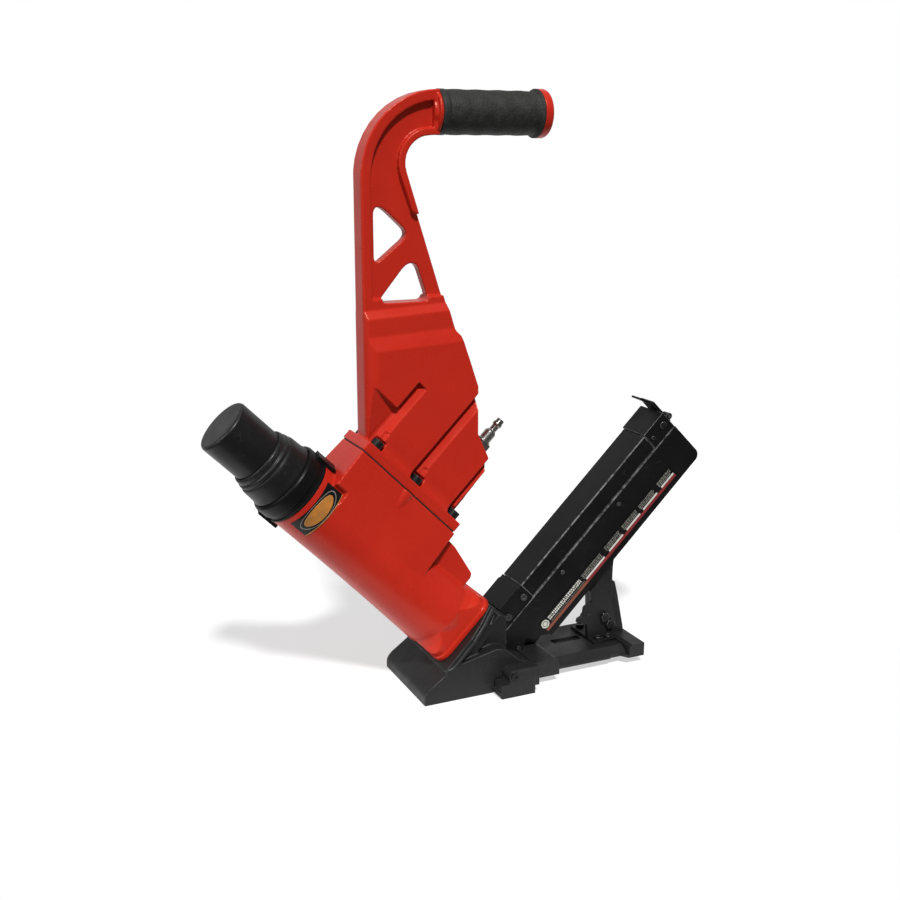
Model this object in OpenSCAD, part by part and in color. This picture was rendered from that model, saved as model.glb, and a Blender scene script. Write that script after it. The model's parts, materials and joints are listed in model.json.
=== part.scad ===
// Pneumatic flooring nailer, struck by a mallet. All sizes in millimetres.
// Two helpers place everything: B() is the barrel frame (x = across the barrel, towards the
// magazine, y = sideways, z = along the barrel from the nose exit up to the ram) and P() extrudes
// a side profile drawn as (x, z) from the nose exit, equally to both sides of the mid-plane.

/* [Foot and guide bar] */
// distance from the frame origin on the sole to the nose exit
exit_x = 60; // [40:1:90]
// width of the foot casting
foot_w = 100; // [80:1:120]
// how far the foot reaches behind the nose exit
foot_back = 110; // [90:1:130]
// thickness of the foot's rear lip
foot_lip = 12.3; // [8:0.1:16]
// length of the guide bar that meets the board edge
bar_w = 134; // [110:1:150]
// height of the guide bar
bar_h = 14; // [10:0.5:18]
// depth of the locating step below the base plate
board_step = 8; // [6:0.5:10]

/* [Base plate] */
// end of the base plate in front of the nose exit
plate_end = 136.5; // [120:0.5:150]
// thickness of the plate's waist
plate_t = 9; // [6:0.5:12]
// height of the end pad's top above the sole
pad_top = 21.8; // [18:0.1:26]

/* [Barrel housing] */
// distance along the barrel from the nose exit to the housing's nose end
nose_s = 84; // [80:1:90]
// upper end of the handle block
ram_end_s = 290; // [270:1:310]
// distance along the barrel to the housing's open rim
rim_s = 302; // [280:1:320]
// outer radius at the ram end
barrel_r_top = 35.6; // [33:0.1:38]
// outer radius above the collar
barrel_r_low = 38.4; // [35:0.1:41]
// bore radius
bore_r = 28.5; // [26:0.1:30]
// half width of the nose collar
collar_h = 36.5; // [34:0.1:39]
// seam between housing and handle, across from the barrel axis
seam_d = 65; // [60:0.5:70]
// lower end of the handle block
block_s = 161.5; // [150:0.5:170]

/* [Driver and cylinder] */
// inner radius of the cylinder sleeve
sleeve_r = 23.5; // [20:0.1:25]
// drive stroke
stroke = 58; // [40:1:62]
// blade width
blade_w = 11.6; // [8:0.1:12.6]
// blade thickness
blade_t = 2; // [1.5:0.1:2.6]
// height of the blade tip at rest
tip_s = 60; // [56:1:64]

/* [Ram] */
// radius of the ram cap
cap_r = 26.5; // [22:0.5:28]
// far end of the ram cap
cap_end = 397; // [370:1:410]
// radius of the plunger stem
stem_r = 13.8; // [10:0.1:16]
// running gap around the sliding parts
slide_gap = 0.4; // [0.3:0.05:0.6]

/* [Handle] */
// flange thickness above the seam
flange_t = 9.5; // [7:0.5:12]
// width of the flange
flange_w = 55; // [48:1:60]
// width of the casting's body
body_w = 40; // [34:1:46]
// width of the post
post_w = 22; // [16:1:26]
// web thickness in the post's recess
web_t = 11; // [6:0.5:14]
// rear face of the post, behind the nose exit
post_x = 150.5; // [140:0.5:160]
// radius of the outer bend
bend_r = 75.4; // [60:0.2:85]
// radius of the inner bend
inner_r = 24; // [18:0.5:30]
// height of the grip axis
grip_z = 546.3; // [520:0.1:560]
// radius of the rubber grip
grip_r = 20; // [17:0.5:22]
// radius of the grip end cap
end_r = 22; // [20:0.5:25]
// length of grip and end cap
grip_len = 109.5; // [100:0.5:130]
// spacing of the handle bolts along the barrel
bolt_pitch = 53.5; // [45:0.5:60]
// distance of the handle bolts from the mid-plane
bolt_y = 20.5; // [18:0.5:23]

/* [Magazine] */
// far end of the magazine
mag_end = 299; // [250:1:320]
// half width of the side plates
mag_hw = 21.5; // [18:0.1:24]
// top of the side plates above the nail line
mag_split = 41; // [36:0.5:46]
// underside of the magazine, below the nail line
mag_low = -5.6; // [-9:0.1:-5]
// half width of the cover
cover_hw = 19.5; // [16:0.1:22]
// top of the cover
cover_top = 60.7; // [56:0.1:64]
// seam in front of the end cap
cap_seam = 268.4; // [255:0.1:280]
// inner width of the fastener guide
guide_in = 14; // [12:0.1:16]
// rail width inside the fasteners
rail_w = 8.8; // [7:0.1:10]

/* [Hidden] */
red = [0.72, 0.12, 0.08];
black = [0.08, 0.08, 0.085];
rubber = [0.12, 0.12, 0.12];
steel = [0.72, 0.72, 0.74];
dark_steel = [0.3, 0.3, 0.32];
white = [0.85, 0.85, 0.82];
bolt_s1 = block_s + 12.5;
bolt_s2 = bolt_s1 + bolt_pitch;
bolt_s3 = bolt_s2 + bolt_pitch;
flange_top = seam_d + 1 + flange_t;
grip_x0 = -75;
grip_end = grip_x0 + grip_len;
piston_s = tip_s + 118;
guide_hw = guide_in / 2 + 2.5;
plate_z = board_step;
badge_s = 277;
badge_end = -50;
knuckle_s = 50;
knuckle_d = mag_end + 4.4;
bore_fit = bore_r - 0.05;

function arc(cx, cy, r, a0, a1, n) =
    [for (i = [0:n]) [cx + r * cos(a0 + (a1 - a0) * i / n), cy + r * sin(a0 + (a1 - a0) * i / n)]];
function rrect(hx, hy, r, n) = concat(
    arc(hx - r, hy - r, r, 0, 90, n), arc(-hx + r, hy - r, r, 90, 180, n),
    arc(-hx + r, -hy + r, r, 180, 270, n), arc(hx - r, -hy + r, r, 270, 360, n));
function soft(p, k, n) = [for (i = [0:len(p) - 1]) let(c = p[i], a = p[(i + len(p) - 1) % len(p)],
    b = p[(i + 1) % len(p)], u = c + (a - c) * min(k / norm(a - c), 0.45),
    v = c + (b - c) * min(k / norm(b - c), 0.45))
    for (j = [0:n]) let(t = j / n) u * pow(1 - t, 2) + c * 2 * t * (1 - t) + v * t * t];
function band(R, r, half, n) = concat(
    [for (i = [0:n]) let(a = -half + 2 * half * i / n, q = r * sqrt(max(0, 1 - pow(a / half, 2))))
        [(R + q) * cos(a), (R + q) * sin(a)]],
    [for (i = [1:n - 1]) let(a = half - 2 * half * i / n, q = r * sqrt(max(0, 1 - pow(a / half, 2))))
        [(R - q) * cos(a), (R - q) * sin(a)]]);

module B() translate([exit_x, 0, 0]) rotate([0, -45, 0]) children();
module P(w) translate([exit_x, 0, 0]) rotate([90, 0, 0])
    linear_extrude(height = w, center = true) children();
module both() {
    children();
    mirror([0, 1, 0]) children();
}
module alongx(x, z) translate([exit_x + x, 0, z]) rotate([0, 90, 0]) children();
module alongy(x, z, y) translate([exit_x + x, y, z]) rotate([90, 0, 0]) children();
module coil(R, r, pitch, turns) linear_extrude(height = pitch * turns, twist = -360 * turns,
    slices = 20 * turns) polygon(band(R, r, 180 * r * 2 / pitch, 8));
module socket_screw(r, hr, hh, len) {
    translate([0, 0, -len]) cylinder(r = r, h = len, $fn = 32);
    difference() {
        cylinder(r = hr, h = hh, $fn = 40);
        translate([0, 0, hh * 0.45]) cylinder(r = hr * 0.5, h = hh, $fn = 6);
    }
}

// ---------- barrel ----------
module barrel_housing() color(red) B() difference() {
    union() {
        translate([0, 0, nose_s]) rotate_extrude($fn = 96) polygon([[0, 0], [36.2, 0], [36.2, 15],
            [barrel_r_low, 25],
            [barrel_r_low, 32], [barrel_r_top + 0.8, 96], [barrel_r_top, 150], [barrel_r_top, rim_s - nose_s],
            [0, rim_s - nose_s]]);
        intersection() {
            translate([0, 0, nose_s]) linear_extrude(height = 26) polygon(rrect(collar_h, collar_h - 0.4,
                13, 5));
            translate([0, 0, nose_s - 1]) rotate_extrude($fn = 96) polygon([[0, 0], [50, 0], [50, 11],
                [45.5, 13], [41, 19], [barrel_r_low, 26], [0, 26]]);
        }
        translate([0.6, 0, nose_s]) linear_extrude(height = 5) polygon(rrect(collar_h + 1.6,
            collar_h + 0.4, 13, 5));
        translate([0, 0, block_s]) linear_extrude(height = ram_end_s - block_s) polygon([[0, 35.5],
            [4.8, 35.2], [seam_d, 27], [seam_d, -27], [4.8, -35.2], [0, -35.5]]);
        for (y = [-bolt_y, bolt_y]) translate([42, y, bolt_s2]) rotate([0, 90, 0])
            cylinder(r = 9, h = seam_d - 42, $fn = 48);
        rotate([90, 0, 0]) linear_extrude(height = 36, center = true) polygon([[20, 112], [20, 170],
            [58, 170], [56.5, 146], [48.3, 113], [44, 110.5], [36, 110.5]]);
    }
    translate([0, 0, 96]) cylinder(r = bore_r, h = 250, $fn = 96);
    translate([0, 0, nose_s - 1]) cylinder(r = 8.5, h = 20, $fn = 48);
    // seat of the badge
    translate([0, 0, badge_s - 0.6]) linear_extrude(height = 40) polygon(concat(
        arc(0, 0, 48, -138, badge_end + 1, 24), arc(0, 0, barrel_r_top + 0.04, badge_end + 1, -138, 24)));
    translate([20, -14, 236]) cube([50, 28, 40]);
    for (y = [-bolt_y, bolt_y]) for (s = [bolt_s1, bolt_s2, bolt_s3])
        translate([seam_d - 18, y, s]) rotate([0, 90, 0]) cylinder(r = 4, h = 30, $fn = 32);
    for (a = [-15, 165]) rotate([0, 0, a])
        translate([32, 0, rim_s - 14]) cylinder(r = 1.9, h = 20, $fn = 24);
    for (x = [-29, 29]) for (y = [-26, 26])
        translate([x, y, nose_s - 1]) cylinder(r = 3, h = 12, $fn = 24);
}
module cylinder_sleeve() color(steel) B() translate([0, 0, 112]) rotate_extrude($fn = 96) polygon([
    [sleeve_r, 0], [bore_fit, 0], [bore_fit, 1.8], [bore_r - 2, 1.8], [bore_r - 2, 4.2], [bore_fit, 4.2],
    [bore_fit, 6], [sleeve_r + 2, 6], [sleeve_r + 2, 88], [bore_fit, 88], [bore_fit, 89.8], [bore_r - 2,
        89.8],
    [bore_r - 2, 92.2], [bore_fit, 92.2], [bore_fit, 94], [15.4, 94], [15.4, 91], [sleeve_r, 91]]);
module sleeve_seals() color(rubber) B() for (s = [115, 203]) translate([0, 0, s])
    rotate_extrude($fn = 96) translate([bore_r - 1, 0]) circle(r = 0.9, $fn = 24);
module bumper() color(rubber) B() translate([0, 0, 96]) rotate_extrude($fn = 72) polygon([[8, 0],
    [bore_r - 0.3, 0], [bore_r - 0.3, 16], [22.5, 16], [21.5, 23.5], [9.5, 23.5], [8, 22]]);
module valve_seat() color(dark_steel) B() translate([0, 0, 224.5]) rotate_extrude($fn = 72) polygon([
    [14.6, 0], [bore_fit, 0], [bore_fit, 7.5], [15.6, 7.5], [14.6, 6.5]]);
module retaining_ring() color(black) B() difference() {
    union() {
        translate([0, 0, rim_s]) rotate_extrude($fn = 96) polygon([[stem_r + slide_gap, -8],
            [bore_r - 0.1, -8], [bore_r - 0.1, 0], [36.2, 0], [36.2, 1.4], [34.8, 2.2], [34.8, 6], [36.2, 7],
            [36.5, 7.8], [36.5, 17.4], [36, 18.8], [34.7, 20], [cap_r + slide_gap, 20],
                [cap_r + slide_gap, 4],
            [stem_r + slide_gap, 4]]);
        for (a = [-15, 165]) rotate([0, 0, a]) {
            translate([28.3, -6.5, rim_s]) cube([10.4, 13, 12]);
            translate([35.75, -6.5, rim_s - 10]) cube([2.95, 13, 12]);
        }
    }
    for (a = [-15, 165]) rotate([0, 0, a]) translate([32, 0, rim_s - 1]) {
        cylinder(r = 1.9, h = 50, $fn = 24);
        translate([0, 0, 13]) cylinder(r = 3.1, h = 40, $fn = 24);
    }
}
module ring_screws() color(dark_steel) B() for (a = [-15, 165]) rotate([0, 0, a])
    translate([32, 0, rim_s + 12]) socket_screw(1.8, 2.95, 3, 24);
module ram_guide() color(rubber) B() translate([0, 0, rim_s + 20]) rotate_extrude($fn = 96) polygon([
    [cap_r + slide_gap, 0], [33.3, 0], [33.5, 3], [32.8, 5], [32.2, 17], [31.5, 19.5], [30.5, 19.5],
        [30.2, 21],
    [30.9, 22.5], [30.5, 24], [29.4, 24.6], [29, 26], [29.4, 27.5], [28.8, 30], [27.9, 31],
        [cap_r + slide_gap, 31]]);
module badge() color(black) B() translate([0, 0, badge_s]) linear_extrude(height = 19) polygon(concat(
    arc(0, 0, barrel_r_top + 0.5, -137, badge_end, 24), arc(0, 0, barrel_r_top + 0.12, badge_end, -137, 24)));

// ---------- cylinder internals ----------
module piston() color(steel) B() difference() {
    translate([0, 0, piston_s]) rotate_extrude($fn = 96) polygon([[0, 0], [8, 0], [12, 3], [22.6, 3],
        [22.6, 6.4], [20.6, 6.4], [20.6, 9], [22.6, 9], [22.6, 14], [0, 14]]);
    translate([-blade_t / 2, -blade_w / 2, piston_s - 1]) cube([blade_t, blade_w, 9]);
    translate([-9, 0, piston_s + 4]) rotate([0, 90, 0]) cylinder(r = 1.5, h = 18, $fn = 24);
}
module piston_ring() color(rubber) B() translate([0, 0, piston_s + 6.5]) difference() {
    cylinder(r = 23.2, h = 2.4, $fn = 96);
    translate([0, 0, -1]) cylinder(r = 20.7, h = 5, $fn = 96);
}
module driver_blade() color(steel) B() difference() {
    translate([-blade_t / 2, -blade_w / 2, tip_s]) cube([blade_t, blade_w, piston_s + 8 - tip_s]);
    translate([-5, 0, piston_s + 4]) rotate([0, 90, 0]) cylinder(r = 1.5, h = 10, $fn = 24);
}
module blade_pin() color(dark_steel) B() translate([-8.5, 0, piston_s + 4]) rotate([0, 90, 0])
    cylinder(r = 1.5, h = 17, $fn = 24);
module head_valve() color(steel) B() translate([0, 0, 214]) rotate_extrude($fn = 72) polygon([[0, 0],
    [18, 0], [19.6, 1.6], [19.6, 3.6], [17.8, 3.6], [17.8, 6], [19.6, 6], [19.6, 10.1], [8, 10.1],
    [8, 18.5], [0, 18.5]]);
module valve_ring() color(rubber) B() translate([0, 0, 218.8]) rotate_extrude($fn = 72)
    translate([19, 0]) circle(r = 1.15, $fn = 24);
module valve_spring() color(dark_steel) B() translate([0, 0, 206.1]) coil(16.9, 0.85, 2.6, 3);
module plunger() color(steel) B() translate([0, 0, 240]) rotate_extrude($fn = 72) polygon([[0, 0],
    [9, 0], [stem_r, 4], [stem_r, 98], [21.9, 98], [21.9, 111.9], [0, 111.9]]);
module ram_cap() color(rubber) B() translate([0, 0, 338]) rotate_extrude($fn = 96) polygon([[22, 0],
    [cap_r, 0], [cap_r, cap_end - 341], [cap_r - 0.9, cap_end - 338.9], [cap_r - 3, cap_end - 338],
    [0, cap_end - 338], [0, 14], [22, 14]]);
module ram_spring() color(dark_steel) B() translate([0, 0, 306.2]) coil(19.4, 1.4, 6.3, 5);

// ---------- handle ----------
module handle_side() polygon(concat([[-post_x, 257], [-post_x, 490]],
    arc(-post_x + bend_r, 490.1, bend_r, 176, 90, 10), [[grip_x0, 526.5], [-84.5, 526]],
    arc(-84.5, 502, inner_r, 105, 198, 8), [[-69.3, 376], [-62, 352.5], [-57.2, 347.5],
    [-47.7, 320.4], [-40.8, 300], [-40.4, 253], [-29.6, 229.5], [-29, 225.5], [-32.4, 210.7],
    [-58.8, 182], [(flange_top - 170.5) / sqrt(2), (flange_top + 170.5) / sqrt(2)]]));
module handle_section() translate([exit_x - 105, 0, 361]) rotate([0, -3.4, 0]) rotate([0, 90, 0])
    rotate([0, 0, 90]) linear_extrude(height = 190, center = true) polygon([[-body_w / 2, -240],
        [-body_w / 2, -21],
        [-15.5, -8], [-15.5, 8], [-post_w / 2, 15.5], [-post_w / 2, 240], [post_w / 2, 240], [post_w / 2,
            15.5],
        [15.5, 8], [15.5, -8], [body_w / 2, -21], [body_w / 2, -240]]);
module handle_plan() translate([exit_x, 0, 100]) linear_extrude(height = 500) polygon(concat([[60, -20],
    [60, 20]],
    arc(-post_x + 12, 8, 12, 90, 180, 9), arc(-post_x + 12, -8, 12, 180, 270, 9)));
module recess_side() polygon(concat([[-post_x + 9, 384], [-post_x + 9, 490]],
    arc(-post_x + bend_r, 490.1, bend_r - 9.5, 176, 95, 10), [[-81, 532.5]],
    arc(-84.5, 502, inner_r + 6.5, 100, 198, 8), [[-104, 466], [-102.6, 461], [-99, 458.4], [-60, 454],
        [-60, 385]]));
module channel(s, len) translate([flange_top, 0, s]) rotate([0, 90,
    0]) linear_extrude(height = len) children();
module channel_section() polygon([[-7.7, 30], [-7.7, 12.8], [-6, 12.5], [-4, 12.9], [3, body_w / 2], [3,
    30]]);
module handle_casting() color(red) difference() {
    union() {
        intersection() {
            P(body_w) handle_side();
            handle_section();
            handle_plan();
        }
        B() translate([seam_d + 1, -flange_w / 2, block_s + 2]) cube([flange_t, flange_w,
            ram_end_s - block_s - 1]);
        B() translate([0, 0, bolt_s1 - 2]) linear_extrude(height = bolt_s3 + 1 - bolt_s1) polygon([
            [flange_top - 1, -27], [flange_top - 1, 27], [78, 23], [81, 21], [86, 19.8], [86, -19.8], [81,
                -21], [78, -23]]);
        alongx(grip_x0 - 6, grip_z) cylinder(r = 13.4, h = grip_len - 12, $fn = 64);
        alongx(grip_x0 - 3, grip_z) cylinder(r = 19.4, h = 3, $fn = 64);
    }
    both() translate([0, -web_t / 2 - 20, 0]) P(40) recess_side();
    P(60) polygon(soft([[-137.6, 464.4], [-137.4, 413], [-103.2, 440.4], [-129.2, 464.4]], 9, 5));
    P(60) polygon(soft([[-106.4, 414.4], [-134.8, 380.2], [-84.8, 380.2], [-96.2, 414.4]], 8, 5));
    // reservoir inside the body
    P(18) polygon([[-142, 262], [-142, 330], [-66, 334], [-49, 296], [-49, 262], [-46, 236], [-50.5, 213],
        [-70, 192.5], [(seam_d - 176) / sqrt(2), (seam_d + 176) / sqrt(2)], [(seam_d - 284) / sqrt(2),
            (seam_d + 284) / sqrt(2)]]);
    // bolt channels with seats for the heads, and the tapered relief behind the first channel
    B() both() {
        channel(bolt_s1, 140) channel_section();
        channel(bolt_s2, 140) channel_section();
        channel(bolt_s3, 71) channel_section();
        channel(bolt_s3, 39.5) polygon([[-6, 12.8], [-46, body_w / 2], [-46, 30], [-6, 30]]);
        for (s = [bolt_s1, bolt_s2, bolt_s3]) translate([flange_top, bolt_y, s]) rotate([0, 90, 0])
            cylinder(r = 7.7, h = 9, $fn = 40);
        translate([flange_top, 12.5, 150]) cube([110, 20, bolt_s1 - 150]);
    }
    for (y = [-bolt_y, bolt_y]) for (s = [bolt_s1, bolt_s2, bolt_s3]) B() translate([seam_d - 2, y, s])
        rotate([0, 90, 0]) cylinder(r = 4.1, h = 30, $fn = 32);
    // plug seat, grip screw and plug threads
    B() translate([144, 0, 188.5]) rotate([0, 90, 0]) cylinder(r = 11.2, h = 30, $fn = 48);
    alongx(grip_end - 40, grip_z) cylinder(r = 2.5, h = 40, $fn = 24);
    B() translate([112, 0, 188.5]) rotate([0, 90, 0]) cylinder(r = 4, h = 20, $fn = 36);
    B() translate([128, 0, 188.5]) rotate([0, 90, 0]) cylinder(r = 5.5, h = 30, $fn = 36);
}
module handle_gasket() color(rubber) B() difference() {
    translate([seam_d, -26.5, block_s + 2.5]) cube([1, 53, ram_end_s - block_s - 3]);
    translate([seam_d - 1, -9, 178]) cube([4, 18, 104]);
    for (y = [-bolt_y, bolt_y]) for (s = [bolt_s1, bolt_s2, bolt_s3]) translate([seam_d - 1, y, s])
        rotate([0, 90, 0]) cylinder(r = 4.1, h = 5, $fn = 32);
}
module handle_bolts() color(black) B() for (y = [-bolt_y, bolt_y]) for (s = [bolt_s1, bolt_s2, bolt_s3])
    translate([flange_top, y, s]) rotate([0, 90, 0]) socket_screw(3.9, 5.8, 6.5, 24);
module grip_sleeve() color(rubber) alongx(grip_x0, grip_z) rotate_extrude($fn = 96) polygon(concat(
    [[13.5, 0], [grip_r - 1, 0], [grip_r, 1], [grip_r, 6], [grip_r - 0.7, 6.6], [grip_r - 0.7, 7.4],
        [grip_r, 8]],
    [for (i = [0:9]) for (k = [0:2]) [grip_r - (k == 1 ? 0.6 : 0), 14 + i * 8 + k * 1.2]],
    [[grip_r, 95], [grip_r - 0.8, 97], [end_r - 0.4, 98], [end_r, 98.6], [end_r, 100.4], [13.5, 100.4]]));
module grip_end_cap() color(red) alongx(grip_x0 + 100.4, grip_z) difference() {
    rotate_extrude($fn = 96) polygon([[0, 0], [end_r - 0.2, 0], [end_r, 1], [end_r, 6], [end_r - 0.8, 8],
        [end_r - 2.6, grip_len - 100.4], [0, grip_len - 100.4]]);
    translate([0, 0, -1]) cylinder(r = 2.6, h = 30, $fn = 24);
    translate([0, 0, 4.6]) cylinder(r = 5, h = 30, $fn = 32);
}
module grip_cap_screw() color(dark_steel) alongx(grip_x0 + 105, grip_z) socket_screw(2.45, 4.6, 3.4, 34);
module air_plug() color(steel) B() translate([0, 0, 188.5]) rotate([0, 90, 0]) {
    translate([0, 0, 129]) cylinder(r = 5.4, h = 15, $fn = 36);
    translate([0, 0, 144]) cylinder(r = 10.2, h = 7.5, $fn = 6);
    translate([0, 0, 151]) rotate_extrude($fn = 48) polygon([[2, 0], [7.4, 0], [7.4, 2], [5.95, 3],
        [5.95, 12], [4.6, 14], [3.7, 15], [3.7, 20], [4.8, 21.2], [4.8, 23], [3.9, 25], [3.9, 28], [2, 28]]);
}

// ---------- foot and nose ----------
module guide_room(g) B() translate([-10 - g, -14 - g, -40]) cube([22 + 2 * g, 28 + 2 * g, 124]);
function plate_outline(g) = [[-42 + g, -50 + g], [-42 + g, 50 - g], [0, 48.5 - g], [19 - g * 0.4, 43.5 - g],
    [37 - g, 36 - g], [37 - g, -36 + g], [19 - g * 0.4, -43.5 + g], [0, -48.5 + g]];
module foot_casting() color(black) difference() {
    union() {
        P(foot_w) polygon([[-foot_back, 0], [-foot_back, foot_lip - 5], [-foot_back + 0.7, foot_lip - 2.2],
            [-foot_back + 2.4, foot_lip + 0.6], [-foot_back + 5.2, foot_lip + 3.6], [-87.5, 28.2], [-84,
                32], [-70, 36.5],
            [-60, 39], [-34, 45], [-24, 43], [-16, 36.2], [-8, 29], [4.5, 24.5], [4.5, 14.2], [-36.2, 14.2],
            [-36.2, 0]]);
        B() translate([0, 0, 79.6]) linear_extrude(height = nose_s - 79.6) polygon(plate_outline(1.3));
        B() translate([0, 0, 77]) linear_extrude(height = 3) polygon(plate_outline(0));
        B() translate([0, 0, 66]) linear_extrude(height = 12) polygon(plate_outline(5.5));
        P(72) polygon([[-79, 20], [-24.7, 74.3], [-16.4, 71], [-16.4, 20]]);
    }
    guide_room(0);
    B() translate([12, -guide_hw, -10]) cube([40, 2 * guide_hw, 67]);
    B() for (x = [-29, 29]) for (y = [-26, 26]) translate([x, y, 0]) {
        cylinder(r = 3.3, h = 100, $fn = 24);
        translate([0, 0, -40]) cylinder(r = 5.8, h = 102, $fn = 32);
    }
    both() alongy(-22.5, 21.8, -34) cylinder(r = 3.1, h = 30, $fn = 24);
    // lightening pockets in the underside
    both() translate([exit_x - 101, 12, -1]) cube([34, 30, 13.5]);
}
module guide_bar() color(black) difference() {
    union() {
        P(bar_w) polygon([[-36, 0], [-36, bar_h], [4.4, bar_h], [4.4, board_step + 0.2], [0,
            board_step + 0.2], [0, 0]]);
        // raised ends beside the foot's cheeks
        intersection() {
            P(bar_w) polygon(concat([[0, 0], [-36, 0], [-38.2, 3], [-37.5, 6.5], [-33, 10.6], [-28.6, 13.6],
                [-27.2, 16.6]], arc(-22.5, 21.8, 5.7, 190, 90, 6), [[4.4, 27], [4.4, board_step + 0.2],
                    [0, board_step + 0.2]]));
            both() rotate([90, 0, 90]) linear_extrude(height = 120) polygon([[50.4, 0], [50.4, 27.6],
                [bar_w / 2 - 2, 27], [bar_w / 2, 25.5], [bar_w / 2, 0]]);
        }
    }
    guide_room(0);
    B() for (x = [-29]) for (y = [-26, 26]) translate([x, y, -40]) cylinder(r = 5.8, h = 102, $fn = 32);
    both() alongy(-22.5, 21.8, -45) cylinder(r = 3.1, h = 40, $fn = 24);
    B() translate([12, -guide_hw, -10]) cube([40, 2 * guide_hw, 67]);
}
module guide_bar_screws() color(dark_steel) both() alongy(-22.5, 21.8, -67) socket_screw(3, 4.2, 1.8, 32);
module driver_guide() color(dark_steel) difference() {
    intersection() {
        B() translate([-10, -14, -20]) cube([22, 28, 104]);
        P(40) polygon([[-90, 0], [0, 0], [0, board_step + 0.4], [12, board_step + 0.4], [30, 40], [30,
            110], [-90, 110]]);
    }
    B() translate([-1.6, -6.5, -30]) cube([3.2, 13, 130]);
    B() translate([0, -guide_in / 2, 4]) cube([20, guide_in, 53]);
}
module nose_bolts() color(dark_steel) B() for (x = [-29, 29]) for (y = [-26, 26]) translate([x, y, 62])
    rotate([180, 0, 0]) socket_screw(2.95, 5, 6, 31);

// ---------- magazine ----------
module magazine_body() color(black) B() difference() {
    rotate([90, 0, 0]) linear_extrude(height = 2 * mag_hw, center = true) polygon(concat(
        [[17.9, mag_split], [14.9, 37.6], [14.6, 37], [15, 26.2], [20.9, 15.1], [25, 11], [35.5, 16.6],
            [54.4, -2.1],
        [55.2, mag_low]], arc(mag_end - 8, mag_low + 8, 8, -90, 0, 6), [[mag_end, mag_split]]));
    rotate([90, 0, 0]) linear_extrude(height = 36, center = true) polygon([[-10, 60], [-10, -12], [54, -12],
        [64, -4.5], [mag_end - 3.5, -4.5], [mag_end - 3.5, 60]]);
}
module magazine_front() color(black) B() difference() {
    rotate([90, 0, 0]) linear_extrude(height = 39.6, center = true) polygon([[17.9, mag_split],
        [39.4, 62], [66, 62], [66.6, cover_top], [71, cover_top], [71, mag_split]]);
    translate([36, -16, 30]) cube([60, 32, 28.7]);
    translate([0, -guide_hw, 30]) cube([60, 2 * guide_hw, 27]);
}
module fastener_guide() color(dark_steel) B() difference() {
    rotate([90, 0, 0]) linear_extrude(height = 2 * guide_hw, center = true) polygon([[12, 0.5],
        [12, 56], [262, 56], [262, -4.5], [17.5, -4.5]]);
    rotate([90, 0, 0]) linear_extrude(height = guide_in, center = true) polygon([[0, 4], [0, 80],
        [280, 80], [280, 3], [20, 3]]);
    translate([26, 4, 26]) cube([230, 10, 10]);
}
module magazine_rail() color(steel) B() rotate([90, 0, 0]) linear_extrude(height = rail_w, center = true)
    polygon([[13, 8], [13, 51], [262, 51], [262, 3], [20, 3]]);
module magazine_screws() color(dark_steel) B() {
    for (p = [[64.6, 50.6], [39.8, 49]]) both() translate([p[0], -19.8, p[1]]) rotate([90, 0,
        0]) difference() {
        cylinder(r = 3.5, h = 2.4, $fn = 28);
        translate([0, 0, 1.2]) cylinder(r = 1.7, h = 3, $fn = 6);
    }
    for (p = [[18.6, 34.6], [23.4, 16.4], [110, 34], [200, 34]]) both() translate([p[0], -mag_hw, p[1]])
        rotate([90, 0, 0]) cylinder(r = 2.3, h = 1.1, $fn = 28);
}
module label_strip() color(white) B() translate([55.5, -mag_hw - 0.4, 0.8]) cube([211, 0.4, 14.4]);
module magazine_cover() color(black) B() difference() {
    translate([71.4, -cover_hw, mag_split + 0.5]) cube([cap_seam - 71.4, 2 * cover_hw,
        cover_top - mag_split - 0.5]);
    translate([60, -cover_hw + 3, mag_split - 1]) cube([230, 2 * cover_hw - 6, cover_top - mag_split - 2.3]);
}
module cover_end() color(black) B() difference() {
    union() {
        translate([cap_seam, -20.2, mag_split + 0.5]) cube([mag_end - cap_seam, 40.4, 20.8]);
        both() translate([mag_end - 1, 11.8, knuckle_s - 3.4]) cube([5.4, 3.4, 6.8]);
        both() translate([knuckle_d, 15.2, knuckle_s]) rotate([90, 0, 0]) cylinder(r = 3.4, h = 3.4,
            $fn = 32);
    }
    translate([260, -16.5, mag_split - 1]) cube([28, 33, 17]);
    translate([mag_end - 9.6, -11.8, mag_split - 1]) cube([20, 23.6, 12.6]);
    translate([knuckle_d, 30, knuckle_s]) rotate([90, 0, 0]) cylinder(r = 1.56, h = 60, $fn = 32);
}
module cover_screws() color(dark_steel) B() both() {
    translate([290.5, -20.2, 52.5]) rotate([90, 0, 0]) cylinder(r = 3.8, h = 1.3, $fn = 28);
    translate([274, -20.2, 52]) rotate([90, 0, 0]) cylinder(r = 1.9, h = 0.7, $fn = 24);
}
module latch_pin() color(steel) B() translate([knuckle_d, 15.6, knuckle_s]) rotate([90, 0, 0])
    cylinder(r = 1.5, h = 31.2, $fn = 32);
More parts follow.
